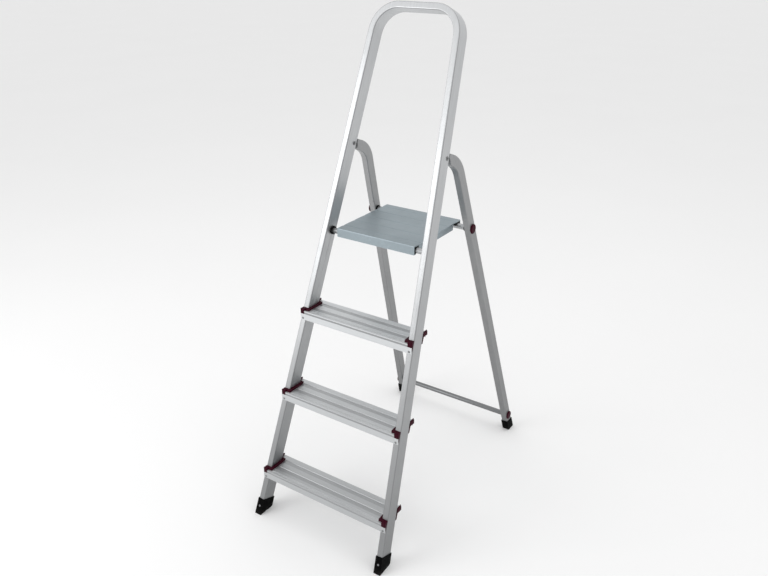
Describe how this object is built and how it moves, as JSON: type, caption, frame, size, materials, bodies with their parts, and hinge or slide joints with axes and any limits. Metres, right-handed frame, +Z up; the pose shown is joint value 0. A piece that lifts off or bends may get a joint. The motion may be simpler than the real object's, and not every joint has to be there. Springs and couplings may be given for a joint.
{
  "type": "platform step ladder",
  "caption": "Folding aluminium step ladder with ribbed treads, a standing platform, a rounded hand rail and a hinged rear frame on plastic feet.",
  "frame": {"origin": "on the floor, under the middle of the four feet", "axes": "+Z up; +Y from the front feet to the rear feet; +X to the right for someone facing the treads"},
  "size_m": [0.4532, 0.837, 1.4073],
  "materials": {
    "frame_aluminium": "satin drawn tube, bright anodised",
    "leg_aluminium": "satin drawn tube",
    "tread_aluminium": "extruded profile with fine lengthwise lines",
    "tube_aluminium": "satin round tube",
    "platform_steel": "zinc-coated sheet, blue-grey, rolled stiffening grooves",
    "burgundy_plastic": "satin moulding",
    "black_plastic": "fine-grained moulding",
    "foot_rubber": "matt, grippy",
    "rivet_metal": "domed heads"
  },
  "bodies": {
    "front_section": {"front_frame": "frame_aluminium", "tread_1": "tread_aluminium", "tread_2": "tread_aluminium", "tread_3": "tread_aluminium", "guard_left_1": "burgundy_plastic", "guard_left_2": "burgundy_plastic", "guard_left_3": "burgundy_plastic", "guard_right_1": "burgundy_plastic", "guard_right_2": "burgundy_plastic", "guard_right_3": "burgundy_plastic", "tread_rivets": "rivet_metal", "front_foot_left": "foot_rubber", "front_foot_right": "foot_rubber", "foot_pins": "rivet_metal", "front_tube": "tube_aluminium", "front_collar_left": "black_plastic", "front_collar_right": "black_plastic", "hinge_rivet_left": "rivet_metal", "hinge_rivet_right": "rivet_metal", "hinge_bush_left_inner": "black_plastic", "hinge_bush_left_outer": "black_plastic", "hinge_bush_right_inner": "black_plastic", "hinge_bush_right_outer": "black_plastic"},
    "rear_section": {"rear_leg_left": "leg_aluminium", "rear_leg_right": "leg_aluminium", "rear_foot_left": "foot_rubber", "rear_foot_right": "foot_rubber", "rear_tube": "tube_aluminium", "rear_washer_left": "black_plastic", "rear_washer_right": "black_plastic", "rear_cap_left": "burgundy_plastic", "rear_cap_right": "burgundy_plastic", "brace_tube": "tube_aluminium", "brace_cap_left": "burgundy_plastic", "brace_cap_right": "burgundy_plastic"},
    "platform_section": {"platform": "platform_steel", "bearing_left": "black_plastic", "bearing_right": "black_plastic", "hook_left": "black_plastic", "hook_right": "black_plastic", "platform_rivets": "rivet_metal"}
  },
  "joints": [
    {"name": "platform_swing", "type": "hinge", "parent": "front_section", "child": "platform_section", "pos_m": [0, -0.09289, 0.811], "axis": [1, 0, 0], "range_deg": [0, 68.9]},
    {"name": "leg_fold", "type": "hinge", "parent": "front_section", "child": "rear_section", "pos_m": [0, -0.00226, 1.041], "axis": [-1, 0, 0], "range_deg": [0, 37.6]}
  ],
  "couplings": [
    {"joint": "leg_fold", "follows": "platform_swing", "ratio": 0.5457}
  ]
}
